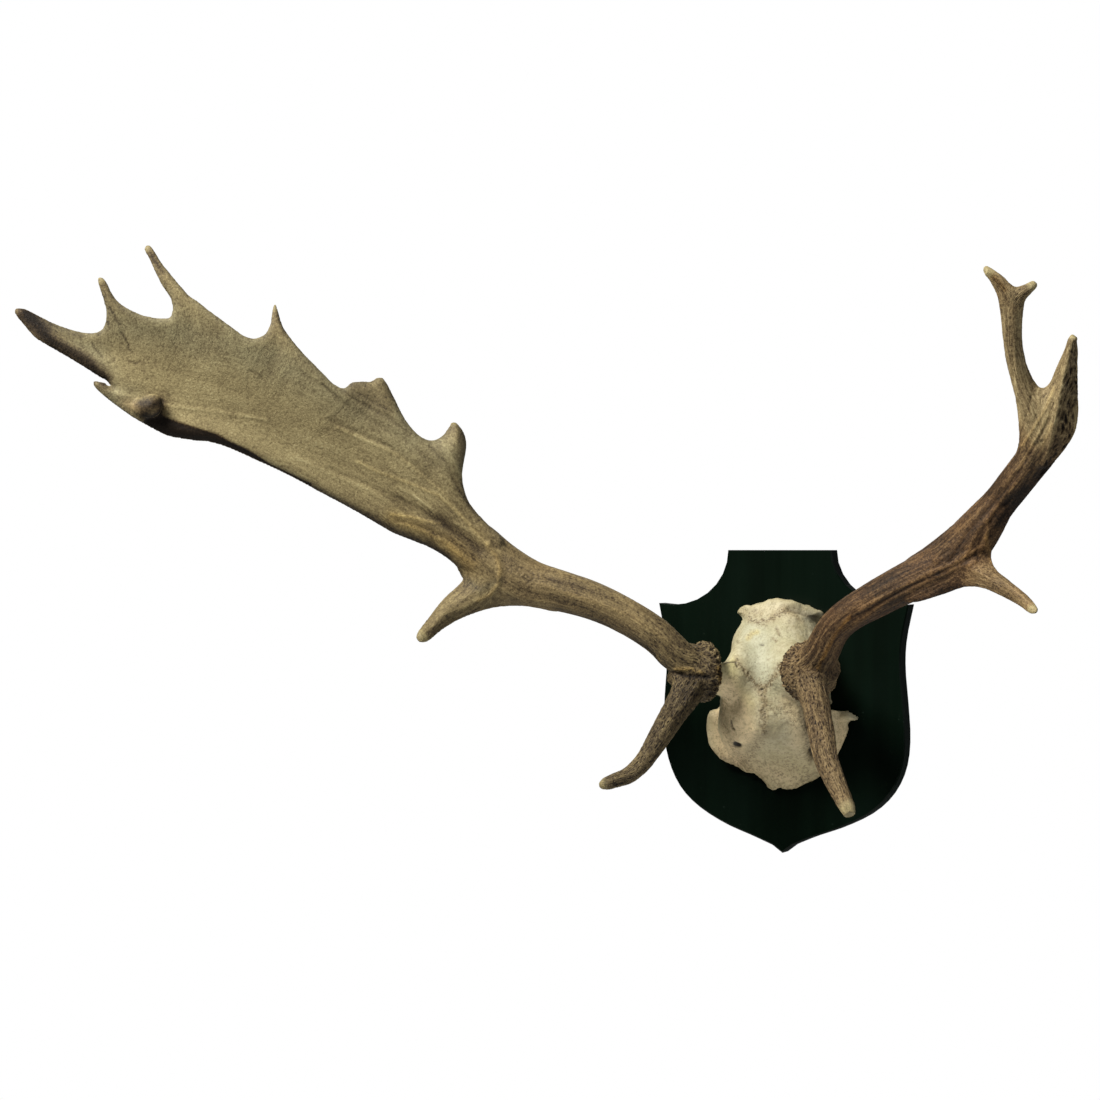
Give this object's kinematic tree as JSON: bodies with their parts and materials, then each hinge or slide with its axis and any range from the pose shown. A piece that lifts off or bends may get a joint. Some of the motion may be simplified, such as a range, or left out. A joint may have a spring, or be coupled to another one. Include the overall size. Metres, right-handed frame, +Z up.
{
  "type": "fallow deer antler mount",
  "caption": "Fallow deer antlers, one palmate and one forked, grown on a cut skull cap that is screwed to a dark green shield-shaped wall plaque.",
  "frame": {"origin": "on the plaque's flat back face, at the middle of its width and height, where it rests on the wall", "axes": "+X to the right of someone who looks at the plaque, +Y into the wall, +Z up; the antlers come forward along -Y"},
  "size_m": [0.8781, 0.3427, 0.5204],
  "materials": {
    "painted_wood": "very dark green satin paint, brushed on",
    "hanger_steel": "zinc-plated, slightly dulled",
    "screw_steel": "yellow zinc-plated",
    "skull_bone": "bleached bone, cream with brown stains, dull",
    "left_antler": "olive-brown antler, grooved, ivory tips",
    "right_antler": "reddish-brown antler, grooved, ivory tips"
  },
  "bodies": {
    "root": {"plaque": "painted_wood", "hanger_plate": "hanger_steel", "hanger_screw_left": "screw_steel", "hanger_screw_right": "screw_steel", "skull_screw_upper": "screw_steel", "skull_screw_lower": "screw_steel", "skull_cap": "skull_bone", "left_beam": "left_antler", "left_brow_tine": "left_antler", "left_trez_tine": "left_antler", "left_palm": "left_antler", "right_beam": "right_antler", "right_brow_tine": "right_antler", "right_trez_tine": "right_antler", "right_crown": "right_antler", "right_top_tine": "right_antler"}
  },
  "joints": []
}
